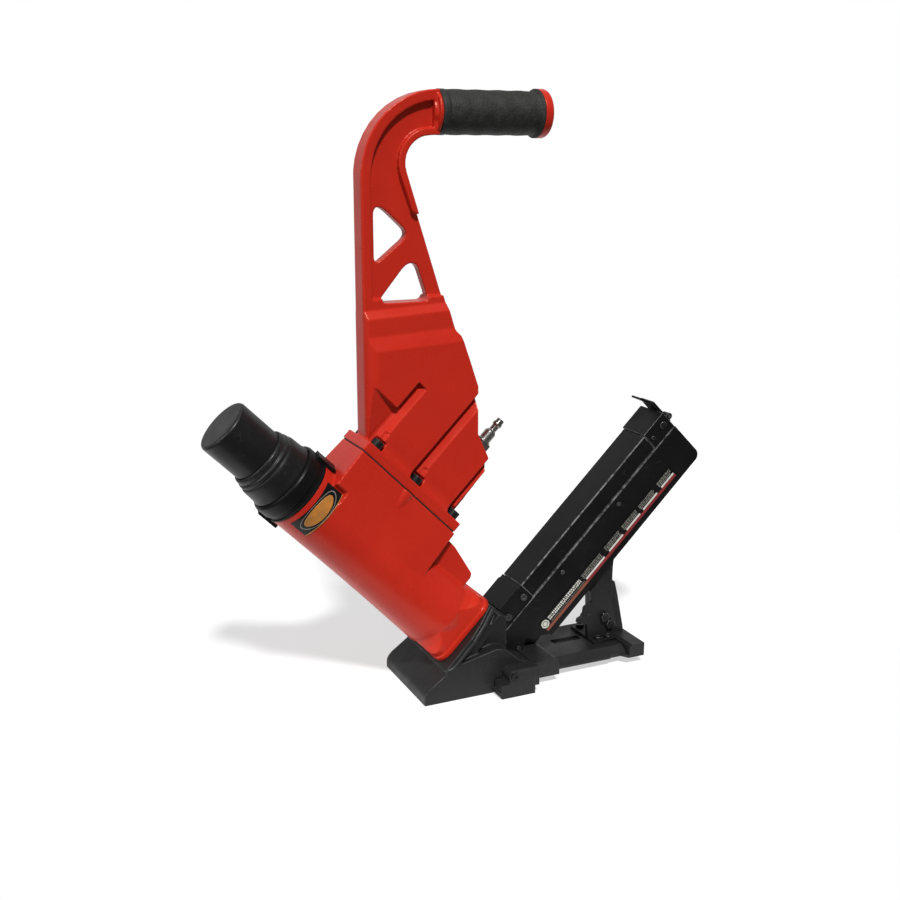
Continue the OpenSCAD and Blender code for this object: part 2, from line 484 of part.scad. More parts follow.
module latch() color(black) B() difference() {
    union() {
        translate([knuckle_d, 11.1, knuckle_s]) rotate([90, 0, 0]) cylinder(r = 3.2, h = 22.2, $fn = 36);
        translate([knuckle_d - 3.2, -11.1, mag_split + 1.4]) cube([2.4, 22.2, 31]);
        rotate([90, 0, 0]) linear_extrude(height = 14, center = true) polygon([[mag_end + 1.2, 72.5],
            [mag_end + 3.6, 72.5], [mag_end + 1.6, 76], [mag_end - 3.4, 87], [mag_end - 5.4, 86.2],
                [mag_end - 0.8, 75]]);
    }
    translate([knuckle_d, 20, knuckle_s]) rotate([90, 0, 0]) cylinder(r = 1.56, h = 40, $fn = 32);
    translate([knuckle_d - 1, -5, knuckle_s - 5]) cube([8, 10, 10]);
    translate([knuckle_d, 5, knuckle_s]) rotate([90, 0, 0]) cylinder(r = 2.7, h = 10, $fn = 36);
}
module latch_spring() color(dark_steel) B() translate([knuckle_d, 4.6, knuckle_s]) rotate([90, 0, 0])
    coil(2.15, 0.4, 1.8, 5);
module pusher() color(dark_steel) B() difference() {
    union() {
        translate([16, -6.6, 7]) cube([32, 13.2, 48]);
        translate([38, 5, 28.5]) cube([7, 6, 5]);
        translate([41.5, 16.8, 31]) rotate([90, 0, 0]) cylinder(r = 4, h = 6.3, $fn = 32);
    }
    translate([10, -4.8, 0]) cube([50, 9.6, 51.5]);
}
module pusher_spring() color(steel) B() difference() {
    union() {
        translate([41.5, 16.4, 31]) rotate([90, 0, 0]) cylinder(r = 7, h = 5.4, $fn = 48);
        translate([30, 11, 37.5]) cube([11.5, 5.4, 0.4]);
    }
    translate([41.5, 20, 31]) rotate([90, 0, 0]) cylinder(r = 4.05, h = 20, $fn = 32);
}

// ---------- base plate and bracket ----------
module base_plate() color(black) difference() {
    union() {
        translate([exit_x, 0, plate_z]) linear_extrude(height = 3) polygon([[4.5, -54], [4.5, 54], [33, 54],
            [41, 44], [112, 41], [118, 50], [plate_end, 50], [plate_end, -50], [118, -50], [112, -41],
            [41, -44], [33, -54]]);
        P(108) polygon([[4.5, plate_z], [4.5, 25], [29, 25], [32.5, 23.5], [34, 20], [34, plate_z]]);
        translate([exit_x, 0, 0]) rotate([90, 0, 90]) linear_extrude(height = 120) polygon([[-44, plate_z],
            [-44, plate_z + 2.5], [-34, plate_z + plate_t], [34, plate_z + plate_t], [44, plate_z + 2.5],
                [44, plate_z]]);
        P(100) polygon([[119, plate_z], [119, 19], [122, pad_top], [plate_end, pad_top], [plate_end,
            plate_z]]);
    }
    translate([exit_x - 10, -60, 0]) cube([14.5, 120, 60]);
    both() translate([exit_x + 34.1, 44, plate_z - 1]) cube([7, 30, 30]);
    both() translate([exit_x + 100, 42.4, plate_z - 1]) cube([13.5, 30, 30]);
    translate([exit_x, -11, plate_z - 1]) cube([34, 22, 40]);
    guide_room(0.2);
    translate([exit_x + 56, -5, plate_z + plate_t - 2.5]) cube([32, 10, 10]);
    for (x = [58, 86]) translate([exit_x + x, 0, plate_z - 1]) cylinder(r = 3, h = 20, $fn = 28);
    for (x = [100, 112]) for (y = [-18.5, 18.5]) translate([exit_x + x, y, plate_z - 1])
        cylinder(r = 2.6, h = 20, $fn = 24);
}
module plate_screws() color(dark_steel) for (x = [100, 112]) for (y = [-18.5, 18.5])
    translate([exit_x + x, y, plate_z + plate_t + 3]) socket_screw(2.45, 4.4, 3.2, 10);
module bracket_side(left) polygon(concat([[118, 118 + mag_low * sqrt(2)], [119.6, 103], [118.8, 94],
    [118.6, 80.5],
    [121.7, 78.4], [125.8, 62.6], [133.7, 26], [133.7, pad_top], [122, pad_top], [118.8, 19], [118.8,
        17]], left));
module support_bracket() color(black) difference() {
    union() {
        P(26) bracket_side([[104, 17], [103, 36], [102, 60], [104, 80], [107, 107 + mag_low * sqrt(2)]]);
        translate([0, -10.5, 0]) P(5) bracket_side([[92, 17], [89.4, 36], [78.4, 39.4], [79.5, 43], [85.4,
            45.4],
            [86.7, 54.3], [94.6, 59.5], [92.5, 71.5], [85, 85 + mag_low * sqrt(2)]]);
        translate([exit_x + 92, -24, plate_z + plate_t]) cube([26.5, 48, 3]);
    }
    for (x = [100, 112]) for (y = [-18.5, 18.5]) translate([exit_x + x, y, 10]) cylinder(r = 2.6, h = 20,
        $fn = 24);
    for (p = [[109.4, 42], [116, 33.5]]) alongy(p[0], p[1], 20) cylinder(r = 3.1, h = 40, $fn = 24);
    alongy(91, 46, 20) cylinder(r = 2.1, h = 40, $fn = 24);
}
module bracket_bolts() color(dark_steel) {
    for (p = [[109.4, 42], [116, 33.5]]) alongy(p[0], p[1], 15.4) {
        cylinder(r = 3, h = 30.8, $fn = 24);
        translate([0, 0, -1.6]) cylinder(r = 5.6, h = 4, $fn = 6);
        translate([0, 0, 28.4]) cylinder(r = 5.2, h = 4.6, $fn = 6);
    }
    alongy(91, 46, -6.8) cylinder(r = 2, h = 7.4, $fn = 24);
}

barrel_housing();
cylinder_sleeve();
sleeve_seals();
bumper();
valve_seat();
retaining_ring();
ring_screws();
ram_guide();
handle_casting();
handle_gasket();
handle_bolts();
grip_sleeve();
grip_end_cap();
grip_cap_screw();
air_plug();
badge();
foot_casting();
guide_bar();
guide_bar_screws();
driver_guide();
nose_bolts();
magazine_body();
magazine_front();
fastener_guide();
magazine_rail();
magazine_screws();
label_strip();
support_bracket();
bracket_bolts();
base_plate();
plate_screws();
ram_cap();
plunger();
ram_spring();
piston();
piston_ring();
driver_blade();
blade_pin();
head_valve();
valve_ring();
valve_spring();
magazine_cover();
cover_end();
cover_screws();
latch_pin();
latch();
latch_spring();
pusher();
pusher_spring();
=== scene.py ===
import json
import math
import random
import bpy
import bmesh
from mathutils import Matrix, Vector, noise


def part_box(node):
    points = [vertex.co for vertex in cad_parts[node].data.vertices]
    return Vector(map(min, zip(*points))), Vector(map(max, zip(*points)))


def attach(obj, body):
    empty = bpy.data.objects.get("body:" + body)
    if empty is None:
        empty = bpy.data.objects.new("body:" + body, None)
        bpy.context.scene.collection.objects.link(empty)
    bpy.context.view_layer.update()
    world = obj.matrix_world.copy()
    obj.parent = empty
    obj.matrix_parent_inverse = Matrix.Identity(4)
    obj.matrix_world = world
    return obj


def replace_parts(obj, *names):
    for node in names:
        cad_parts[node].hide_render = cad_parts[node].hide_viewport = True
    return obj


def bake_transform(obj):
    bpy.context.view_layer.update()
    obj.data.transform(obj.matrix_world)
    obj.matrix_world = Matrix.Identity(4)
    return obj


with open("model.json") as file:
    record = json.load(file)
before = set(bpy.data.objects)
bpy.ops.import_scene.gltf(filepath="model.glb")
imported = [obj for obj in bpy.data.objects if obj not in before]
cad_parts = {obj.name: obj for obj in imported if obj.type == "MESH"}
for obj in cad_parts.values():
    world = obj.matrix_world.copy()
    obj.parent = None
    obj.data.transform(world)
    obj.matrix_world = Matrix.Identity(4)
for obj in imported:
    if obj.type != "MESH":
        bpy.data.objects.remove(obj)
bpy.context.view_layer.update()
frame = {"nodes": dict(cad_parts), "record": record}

NODES = frame["nodes"]
BODY_OF = {n: b for b, ns in frame["record"]["behaviour"]["bodies"].items() for n in ns}
SCENE = bpy.context.scene
MM = 0.001

# ---- the camera
LENS, SENSOR = 46.56, 36.0
CAMERA_AT = (-0.4476, -0.9845, 0.5050)
CAMERA_TILT = math.radians(14.0)
VIEW = Vector((0.4131, 0.9107, 0.0))         # the camera's heading

# ---- the part: radii and places along the barrel are in mm
EXIT = Vector((0.060, 0.0, 0.0))             # the nail exit, where the barrel's axis meets the sole
DIAG = math.sqrt(0.5)                        # the barrel leans back by 45 degrees
UP_BARREL = Vector((-DIAG, 0, DIAG))
BARREL_R = 35.6                              # the housing below its rim
BADGE_R = BARREL_R + 0.5                     # the badge's outer face
STRIP_Y = -21.9                              # outer face of the printed strip
LEDGE_S = 41.0                               # the ledge of the magazine's body

# ---- printed marks, in mm
SKIM = 0.01                                  # how far a mark starts outside the face it is on
PROUD = 0.06                                 # how far it stands out

# ---- finish of the meshes, in metres
WELD = 2e-6
FLAT = math.radians(0.4)                     # faces closer than this are one face
SHARP = math.radians(28)                     # edges sharper than this are rolled
VOXEL = 0.0008

# ---- the studio
ROOM_FILL = 0.22                             # what the room gives as light
ROOM_MIRRORED = (0.10, 0.6)                  # what is mirrored of it, from in front and from behind
SUNS = (("key", 3.7, 7.0, (-0.12, -0.60, 0.79)), ("side", 1.15, 35.0, (-0.92, -0.05, 0.38)))
FLOOR_X, FLOOR_Y = (-0.45, 0.75), (-0.13, 0.95)
FLOOR_GLOW = 0.56


def barrel(d, y, s):
    """A point given in the barrel's frame, in mm: across, sideways and along the barrel."""
    return EXIT + Vector(((d - s) * DIAG, y, (d + s) * DIAG)) * MM


def turn(k, steps):
    """The angle at step k of a full turn."""
    return 2 * math.pi * k / steps


def make_camera():
    data = bpy.data.cameras.new("camera")
    cam = bpy.data.objects.new("camera", data)
    SCENE.collection.objects.link(cam)
    data.lens = LENS
    data.sensor_width = SENSOR
    data.clip_start = 0.05
    data.clip_end = 20.0
    cam.location = CAMERA_AT
    ahead = VIEW * math.cos(CAMERA_TILT) - Vector((0, 0, math.sin(CAMERA_TILT)))
    cam.rotation_euler = ahead.to_track_quat("-Z", "Y").to_euler()
    SCENE.camera = cam


# ---------------------------------------------------------------- materials
class Graph:
    """A small builder for one node material around a Principled shader."""

    def __init__(self, name):
        self.mat = bpy.data.materials.new(name)
        self.mat.use_nodes = True
        self.tree = self.mat.node_tree
        self.tree.nodes.clear()
        out = self.tree.nodes.new("ShaderNodeOutputMaterial")
        self.bsdf = self.tree.nodes.new("ShaderNodeBsdfPrincipled")
        self.tree.links.new(self.bsdf.outputs[0], out.inputs[0])
        self.coord = self.tree.nodes.new("ShaderNodeTexCoord").outputs["Object"]

    def link(self, a, b):
        self.tree.links.new(a, b)

    def put(self, socket, value):
        self.bsdf.inputs[socket].default_value = value

    def feed(self, socket, v):
        """A number, a colour or another node's output goes into a socket."""
        if isinstance(v, (int, float)):
            socket.default_value = v
        elif isinstance(v, tuple):
            socket.default_value = (*v, 1.0)
        else:
            self.link(v, socket)

    def stretched(self, scale):
        n = self.tree.nodes.new("ShaderNodeMapping")
        n.inputs["Scale"].default_value = scale
        self.link(self.coord, n.inputs["Vector"])
        return n.outputs[0]

    def noise(self, scale, detail=3.0, rough=0.55, vector=None, warp=0.0):
        n = self.tree.nodes.new("ShaderNodeTexNoise")
        n.inputs["Scale"].default_value = scale
        n.inputs["Detail"].default_value = detail
        n.inputs["Roughness"].default_value = rough
        n.inputs["Distortion"].default_value = warp
        self.link(vector or self.coord, n.inputs["Vector"])
        return n.outputs["Fac"]

    def cells(self, scale):
        n = self.tree.nodes.new("ShaderNodeTexVoronoi")
        n.feature = "SMOOTH_F1"
        n.inputs["Scale"].default_value = scale
        self.link(self.coord, n.inputs["Vector"])
        return n.outputs["Distance"]

    def ramp(self, value, low, high, a=0.0, b=1.0):
        n = self.tree.nodes.new("ShaderNodeMapRange")
        n.inputs["From Min"].default_value = low
        n.inputs["From Max"].default_value = high
        n.inputs["To Min"].default_value = a
        n.inputs["To Max"].default_value = b
        self.link(value, n.inputs["Value"])
        return n.outputs["Result"]

    def math(self, op, a, b):
        n = self.tree.nodes.new("ShaderNodeMath")
        n.operation = op
        self.feed(n.inputs[0], a)
        self.feed(n.inputs[1], b)
        return n.outputs[0]

    def mix(self, factor, a, b):
        n = self.tree.nodes.new("ShaderNodeMix")
        n.data_type = "RGBA"
        self.feed(n.inputs[0], factor)
        self.feed(n.inputs[6], a)
        self.feed(n.inputs[7], b)
        return n.outputs[2]

    def pointed(self, low, high):
        """1 on convex edges, 0 elsewhere."""
        n = self.tree.nodes.new("ShaderNodeNewGeometry")
        return self.ramp(n.outputs["Pointiness"], low, high)

    def bump(self, height, distance, strength=1.0, under=None):
        n = self.tree.nodes.new("ShaderNodeBump")
        n.inputs["Distance"].default_value = distance
        n.inputs["Strength"].default_value = strength
        self.link(height, n.inputs["Height"])
        if under is not None:
            self.link(under, n.inputs["Normal"])
        return n.outputs[0]


def surface(name, base, shade, bare, rough, grain, depth, spread=0.07, wear=0.0, metal=0.0,
            coat=0.0, coat_rough=0.1, blotch=14.0, scratches=0.0, edge_wear_and_highlight=0.0, shine=0.5,
            tint=(1.0, 1.0, 1.0)):
    """Paint, casting, plastic or metal.

    base and shade blend in clouds, grain and depth set the fine bump, wear shows bare colour where the
    shape is pointed, edge_wear_and_highlight shows it all over in patches (the edge materials use it:
    partly rubbed wear, partly painted highlight), and scratches are hairlines of it."""
    g = Graph(name)
    colour = g.mix(g.ramp(g.noise(blotch, 4.0, 0.6), 0.35, 0.65), base, shade)
    fine = g.noise(grain, 3.0, 0.6)
    colour = g.mix(g.ramp(fine, 0.3, 0.7, 0.0, 0.22), colour, shade)
    if wear or edge_wear_and_highlight:
        patches = g.ramp(g.noise(190.0, 3.0, 0.7), 0.38, 0.62, 0.15, 1.0)
        amount = g.math("MULTIPLY", patches, wear or edge_wear_and_highlight)
        if wear:
            amount = g.math("MULTIPLY", amount, g.pointed(0.52, 0.6))
        colour = g.mix(amount, colour, bare)
    roughness = g.ramp(g.noise(42.0, 5.0, 0.65), 0.3, 0.7, rough - spread, rough + spread)
    if scratches:
        along = g.ramp(g.noise(1.0, 2.0, 0.5, g.stretched((60, 900, 900)), 0.4), 0.66, 0.72)
        upright = g.ramp(g.noise(1.0, 2.0, 0.5, g.stretched((900, 700, 50)), 0.5), 0.67, 0.72)
        lines = g.math("MULTIPLY", g.math("MAXIMUM", along, upright), scratches)
        lines = g.math("MULTIPLY", lines, g.ramp(g.noise(25.0), 0.45, 0.6))
        colour = g.mix(lines, colour, bare)
        roughness = g.math("ADD", roughness, g.math("MULTIPLY", lines, 0.2))
    g.link(colour, g.bsdf.inputs["Base Color"])
    g.link(roughness, g.bsdf.inputs["Roughness"])
    soft = g.bump(g.noise(grain * 0.25, 2.0, 0.5), depth * 1.5, 0.6)
    g.link(g.bump(fine, depth, 1.0, soft), g.bsdf.inputs["Normal"])
    g.put("Metallic", metal)
    g.put("Specular IOR Level", shine)
    g.put("Specular Tint", (*tint, 1.0))
    g.put("Coat Weight", coat)
    g.put("Coat Roughness", coat_rough)
    return g.mat


def pair(m, key, name, edge_wear_and_highlight, wear=0.0, scratches=0.0, **look):
    """A material for a piece's faces and one for its edges, painted brighter there: partly rubbed wear,
    partly painted highlight.
    """
    m[key] = surface(name, wear=wear, scratches=scratches, **look)
    m[key + "_edge"] = surface(name + "_edge", edge_wear_and_highlight=edge_wear_and_highlight, **look)


def painted(m):
    pair(m, "red", "red_enamel", 0.25, wear=0.2, scratches=0.1,
         base=(0.49, 0.022, 0.010), shade=(0.45, 0.018, 0.009), bare=(0.70, 0.07, 0.03),
         rough=0.3, grain=650.0, depth=0.00002, coat=0.08, coat_rough=0.25, shine=0.25,
         tint=(1.0, 0.72, 0.55))
    casting = dict(base=(0.0085, 0.0085, 0.009), shade=(0.014, 0.014, 0.0145), bare=(0.20, 0.20, 0.205),
                   rough=0.46, grain=1100.0, depth=0.00013, spread=0.09, shine=0.28)
    pair(m, "cast", "black_casting", 0.12, wear=0.5, scratches=0.12, **casting)
    m["plain"] = surface("black_casting_plain", scratches=0.12, **casting)
    m["plain_edge"] = m["cast_edge"]
    pair(m, "sheet", "black_sheet", 0.6, scratches=0.05,
         base=(0.0042, 0.0042, 0.0046), shade=(0.007, 0.007, 0.0074), bare=(0.30, 0.30, 0.305),
         rough=0.4, grain=1500.0, depth=0.00004, shine=0.18)
    pair(m, "ring", "black_ring", 0.5, scratches=0.25,
         base=(0.003, 0.003, 0.0033), shade=(0.005, 0.005, 0.0054), bare=(0.09, 0.09, 0.093),
         rough=0.4, grain=1300.0, depth=0.00005, shine=0.16)


def rubbery(m):
    pair(m, "rubber", "cap_rubber", 0.3, scratches=0.5,
         base=(0.0045, 0.0045, 0.0049), shade=(0.010, 0.010, 0.0104), bare=(0.06, 0.06, 0.06),
         rough=0.45, grain=900.0, depth=0.00008, spread=0.1, shine=0.25, coat=0.12, coat_rough=0.22)
    m["seal"] = surface("seal_rubber", (0.012, 0.011, 0.010), (0.02, 0.018, 0.016), (0.04, 0.04, 0.04),
                        0.7, 900.0, 0.00005)
    m["bumper"] = surface("urethane", (0.55, 0.36, 0.10), (0.45, 0.28, 0.07), (0.65, 0.5, 0.2),
                          0.4, 600.0, 0.00005)
    m["grip"] = grip_material()


def metallic(m):
    m["steel"] = surface("bright_steel", (0.62, 0.62, 0.63), (0.50, 0.50, 0.51), (0.8, 0.8, 0.8),
                         0.28, 1400.0, 0.00003, metal=1.0, scratches=0.4)
    pair(m, "plug", "plug_steel", 0.8, scratches=0.4,
         base=(0.62, 0.61, 0.58), shade=(0.36, 0.35, 0.33), bare=(0.85, 0.84, 0.8),
         rough=0.24, grain=900.0, depth=0.00003, metal=1.0, blotch=60.0)
    pair(m, "oxide", "black_oxide", 0.6,
         base=(0.035, 0.035, 0.037), shade=(0.02, 0.02, 0.021), bare=(0.5, 0.5, 0.5),
         rough=0.36, grain=1600.0, depth=0.00004, metal=0.7, shine=0.3)
    # grey steel for the magazine screws, and the painted highlight lines along the foot plate's edge
    pair(m, "wear_and_sheen", "worn_steel", 0.8,
         base=(0.10, 0.10, 0.098), shade=(0.05, 0.05, 0.05), bare=(0.55, 0.55, 0.53),
         rough=0.4, grain=1200.0, depth=0.00003, metal=0.6, shine=0.4)
    m["alloy"] = surface("anodised_alloy", (0.52, 0.53, 0.55), (0.44, 0.45, 0.47), (0.7, 0.7, 0.72),
                         0.35, 1400.0, 0.00003, metal=1.0)


def printed(m):
    for key, base, shade, rough in (
            ("print_black", (0.004, 0.004, 0.0045), (0.007, 0.007, 0.0075), 0.3),
            ("print_white", (0.66, 0.65, 0.60), (0.52, 0.51, 0.46), 0.45),
            ("print_grey", (0.25, 0.245, 0.215), (0.17, 0.165, 0.145), 0.5),
            ("print_red", (0.25, 0.028, 0.032), (0.19, 0.022, 0.024), 0.4),
            ("print_brown", (0.24, 0.075, 0.045), (0.18, 0.055, 0.035), 0.45),
            ("print_gold", (0.52, 0.19, 0.03), (0.30, 0.14, 0.04), 0.32),
            ("print_silver", (0.30, 0.27, 0.25), (0.20, 0.18, 0.17), 0.3)):
        m[key] = surface(key, base, shade, base, rough, 900.0, 0.00002, blotch=90.0, shine=0.25)


def grip_material():
    """Soft grip rubber: leathery pebbles over broader lumps."""
    g = Graph("grip_rubber")
    pebbles = g.cells(700.0)
    lumps = g.noise(150.0, 3.0, 0.6)
    colour = g.mix(g.ramp(lumps, 0.3, 0.7), (0.018, 0.018, 0.017), (0.038, 0.038, 0.036))
    colour = g.mix(g.ramp(pebbles, 0.1, 0.6, 0.0, 0.5), colour, (0.008, 0.008, 0.0075))
    g.put("Specular IOR Level", 0.3)
    g.link(colour, g.bsdf.inputs["Base Color"])
    g.link(g.ramp(lumps, 0.3, 0.7, 0.55, 0.75), g.bsdf.inputs["Roughness"])
    low = g.bump(lumps, 0.0006, 0.6)
    g.link(g.bump(pebbles, -0.0003, 0.7, low), g.bsdf.inputs["Normal"])
    return g.mat


# ---------------------------------------------------------------- building from the frame
def welded(node):
    """A clean mesh of a CAD node: welded, with its flat faces in one piece."""
    mesh = NODES[node].data.copy()
    mesh.materials.clear()
    bm = bmesh.new()
    bm.from_mesh(mesh)
    bmesh.ops.remove_doubles(bm, verts=bm.verts, dist=WELD)
    bmesh.ops.dissolve_limit(bm, angle_limit=FLAT, verts=bm.verts, edges=bm.edges)
    bm.to_mesh(mesh)
    bm.free()
    return mesh


def piece(mesh, name, mats, smooth=True):
    """A new object with its materials. The caller says what it moves with."""
    obj = bpy.data.objects.new(name, mesh)
    SCENE.collection.objects.link(obj)
    for mat in mats:
        mesh.materials.append(mat)
    for p in mesh.polygons:
        p.use_smooth = smooth
    return obj


def crisp(node, m, key, width=0.0006, steps=2, ledge=None):
    """Machined or pressed piece: the node's shape with small rolled edges, painted a little brighter:
    partly rubbed wear, partly painted highlight.
    """
    obj = piece(welded(node), "fine_" + node, (m[key], m[key + "_edge"]))
    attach(obj, BODY_OF[node])
    if ledge is not None:
        paint_ledge_highlight(obj.data, ledge)
    bevel = obj.modifiers.new("edges", "BEVEL")
    bevel.width = width
    bevel.segments = steps
    bevel.limit_method = "ANGLE"
    bevel.angle_limit = SHARP
    bevel.material = 1
    weigh = obj.modifiers.new("normals", "WEIGHTED_NORMAL")
    weigh.weight = 60
    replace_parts(obj, node)


def paint_ledge_highlight(mesh, level):
    """The faces that look along the barrel near a given level get the brighter edge material: a painted
    highlight line.
    """
    for p in mesh.polygons:
        if p.normal.dot(UP_BARREL) > 0.95 and abs((p.center - EXIT).dot(UP_BARREL) / MM - level) < 1.0:
            p.material_index = 1


def cast(node, mat, passes):
    """Cast piece: the node's shape with every edge and corner softened."""
    obj = piece(welded(node), "cast_" + node, (mat,))
    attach(obj, BODY_OF[node])
    remesh = obj.modifiers.new("skin", "REMESH")
    remesh.mode = "VOXEL"
    remesh.voxel_size = VOXEL
    remesh.use_smooth_shade = True
    relax = obj.modifiers.new("relax", "SMOOTH")
    relax.factor = 0.5
    relax.iterations = passes
    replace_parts(obj, node)


def spring(node, mat):
    """A coil spring as its own piece: the node's shape, smooth shaded, baked in place."""
    obj = piece(welded(node), "coil_" + node, (mat,))
    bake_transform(obj)
    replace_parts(obj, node)


def keep(node, mat):
    """A node whose shape is right stays, with a better material."""
    for s in NODES[node].material_slots:
        s.material = mat


def main_pieces(m):
    for node, key, passes in (("barrel_housing", "red", 4), ("handle_casting", "red", 4),
                              ("foot_casting", "cast", 3)):
        cast(node, m[key], passes)
    for node, width in (("guide_bar", 0.0016), ("base_plate", 0.0009), ("support_bracket", 0.0012)):
        crisp(node, m, "plain", width, 3)
    # the magazine body's ledge gets a painted highlight line
    crisp("magazine_body", m, "sheet", 0.0008, ledge=LEDGE_S)
    for node, key, width in (
            ("magazine_front", "sheet", 0.0009), ("magazine_cover", "sheet", 0.0011),
            ("cover_end", "sheet", 0.0009), ("latch", "sheet", 0.0004),
            ("retaining_ring", "ring", 0.0007), ("ram_guide", "rubber", 0.0004),
            ("ram_cap", "rubber", 0.0008), ("grip_end_cap", "red", 0.0005),
            ("air_plug", "plug", 0.0003), ("driver_guide", "oxide", 0.0005),
            ("magazine_screws", "wear_and_sheen", 0.0004)):
        crisp(node, m, key, width)
    spring("ram_spring", m["oxide"])
    spring("valve_spring", m["oxide"])
    for node in ("handle_bolts", "ring_screws", "guide_bar_screws", "nose_bolts", "cover_screws",
                 "bracket_bolts", "plate_screws", "grip_cap_screw"):
        crisp(node, m, "oxide", 0.0003)
    for key, nodes in (
            ("alloy", ("cylinder_sleeve", "piston", "head_valve")),
            ("seal", ("sleeve_seals", "handle_gasket", "piston_ring", "valve_ring")),
            ("bumper", ("bumper",)),
            ("oxide", ("valve_seat", "fastener_guide", "blade_pin", "latch_spring", "pusher")),
            ("steel", ("magazine_rail", "plunger", "driver_blade", "latch_pin", "pusher_spring")),
            ("print_black", ("badge", "label_strip"))):
        for node in nodes:
            keep(node, m[key])


# ---------------------------------------------------------------- pieces of their own
def skin(bm, rings, closed):
    """Faces between neighbouring rings of points. The last ring joins the first, or both are capped."""
    for a, b in zip(rings, rings[1:] + rings[:1] if closed else rings[1:]):
        for k in range(len(a)):
            n = (k + 1) % len(a)
            bm.faces.new((a[k], a[n], b[n], b[k]))
    if not closed:
        bm.faces.new(rings[0])
        bm.faces.new(rings[-1])


def finished(bm, name, mat, smooth=False):
    """A drawn piece that stays with the tool."""
    mesh = bpy.data.meshes.new(name)
    bmesh.ops.recalc_face_normals(bm, faces=bm.faces)
    bm.to_mesh(mesh)
    bm.free()
    obj = piece(mesh, name, (mat,), smooth)
    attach(obj, "tool")
    return obj


def grip_profile(length, sleeve_r, lip_r):
    """The sleeve's outline as (place along it, radius) in mm, and where its finger waves start and end."""
    bore_r, wave, pitch, steps = 13.5, 0.2, 21.0, 220
    first, last = 8.4, length - 4.0
    collar = [(0.0, bore_r), (0.0, sleeve_r - 1.2), (0.4, sleeve_r - 0.4), (1.2, sleeve_r), (3.0, sleeve_r),
              (5.0, sleeve_r), (6.6, sleeve_r), (7.0, sleeve_r - 0.7), (7.8, sleeve_r - 0.8)]
    waves = []
    for i in range(steps + 1):
        x = first + (last - first) * i / steps
        waves.append((x, sleeve_r - wave - wave * math.cos((x - first) / pitch * 2 * math.pi)))
    lip = [(last + 1.0, sleeve_r + 0.6), (last + 1.6, lip_r - 0.4), (last + 2.2, lip_r),
           (length - 0.3, lip_r), (length, lip_r - 0.4), (length, bore_r)]
    return collar + waves + lip, first, last


def grip(m):
    """The rubber sleeve: shallow finger waves, a plain collar, a flared lip and a pebbled skin."""
    low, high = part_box("grip_sleeve")
    axis_z = (low[2] + high[2]) / 2
    lip_r = (high[2] - low[2]) / 2 / MM
    profile, first, last = grip_profile((high[0] - low[0]) / MM, lip_r - 2.0, lip_r)
    dents, pits, steps = 0.22, 0.10, 200
    bm = bmesh.new()
    rings = []
    for x, r in profile:
        ring = []
        for k in range(steps):
            a = turn(k, steps)
            rr = r
            if first <= x <= last:
                p = Vector((x * 0.5, r * math.cos(a) * 0.5, r * math.sin(a) * 0.5))
                rr -= dents * abs(noise.noise(p)) + pits * abs(noise.noise(p * 2.7))
            ring.append(bm.verts.new((low[0] + x * MM, rr * math.cos(a) * MM,
                                      axis_z + rr * math.sin(a) * MM)))
        rings.append(ring)
    skin(bm, rings, True)
    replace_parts(finished(bm, "grip_rubber", m["grip"], True), "grip_sleeve")


def slab(bm, d0, d1, s0, s1):
    """A thin block on the strip's face."""
    corners = [bm.verts.new(barrel(d, y, s)) for y in (STRIP_Y - SKIM, STRIP_Y - PROUD) for d, s in
               ((d0, s0), (d1, s0), (d1, s1), (d0, s1))]
    for face in ((0, 1, 2, 3), (7, 6, 5, 4), (0, 4, 5, 1), (1, 5, 6, 2), (2, 6, 7, 3), (3, 7, 4, 0)):
        bm.faces.new([corners[i] for i in face])


def annulus(bm, centre, outer, inner, out, steps=32):
    """A thin ring on the strip's face, out mm proud."""
    d, s = centre
    low, high = STRIP_Y - SKIM, STRIP_Y - out
    skin(bm, [[bm.verts.new(barrel(d + r * math.cos(turn(k, steps)), y, s + r * math.sin(turn(k, steps))))
               for k in range(steps)]
              for r, y in ((outer, low), (outer, high), (inner, high), (inner, low))], True)


def words(bm, rng, start, end, low, height, widest):
    """A row of bars of uneven length, with no lettering."""
    narrowest = 0.7
    d = start
    while d < end - 0.8:
        wide = rng.uniform(narrowest, widest)
        slab(bm, d, min(d + wide, end), low, low + height)
        d += wide + rng.uniform(0.5, 1.0)


def label(m):
    """The strip's marks as plain bars, lines and a ring."""
    rng = random.Random(5)
    blocks = ((121.5, 151.0), (158.6, 181.0), (187.0, 209.0), (214.2, 237.0), (244.4, 264.0))
    line_start, line_turn, line_end = 56.0, 121.0, 264.6
    line_low, line_high = 1.4, 4.6
    text_start, disc = 66.0, (59.4, 9.8)
    red, brown, white, grey = (bmesh.new() for _ in range(4))
    slab(brown, line_start, line_turn, line_low, line_high)
    slab(red, line_turn, line_end, line_low, line_high)
    for start, end in blocks:
        slab(white, start, end, line_high + 0.2, line_high + 2.4)
        for row in range(3):
            words(grey, rng, start - 1.5, end - 1.0, 8.2 + row * 2.1, 1.2, 3.2)
    for row in range(2):
        words(white, rng, text_start, 117.0, 8.4 + row * 2.7, 1.9, 2.2)
    words(grey, rng, text_start, 119.0, 5.6, 0.9, 1.6)
    annulus(white, disc, 4.6, 0.0001, PROUD)
    annulus(grey, disc, 3.2, 2.2, PROUD + 0.03)
    for bm, name, key in ((red, "label_red", "print_red"), (brown, "label_brown", "print_brown"),
                          (white, "label_white", "print_white"), (grey, "label_grey", "print_grey")):
        finished(bm, name, m[key])


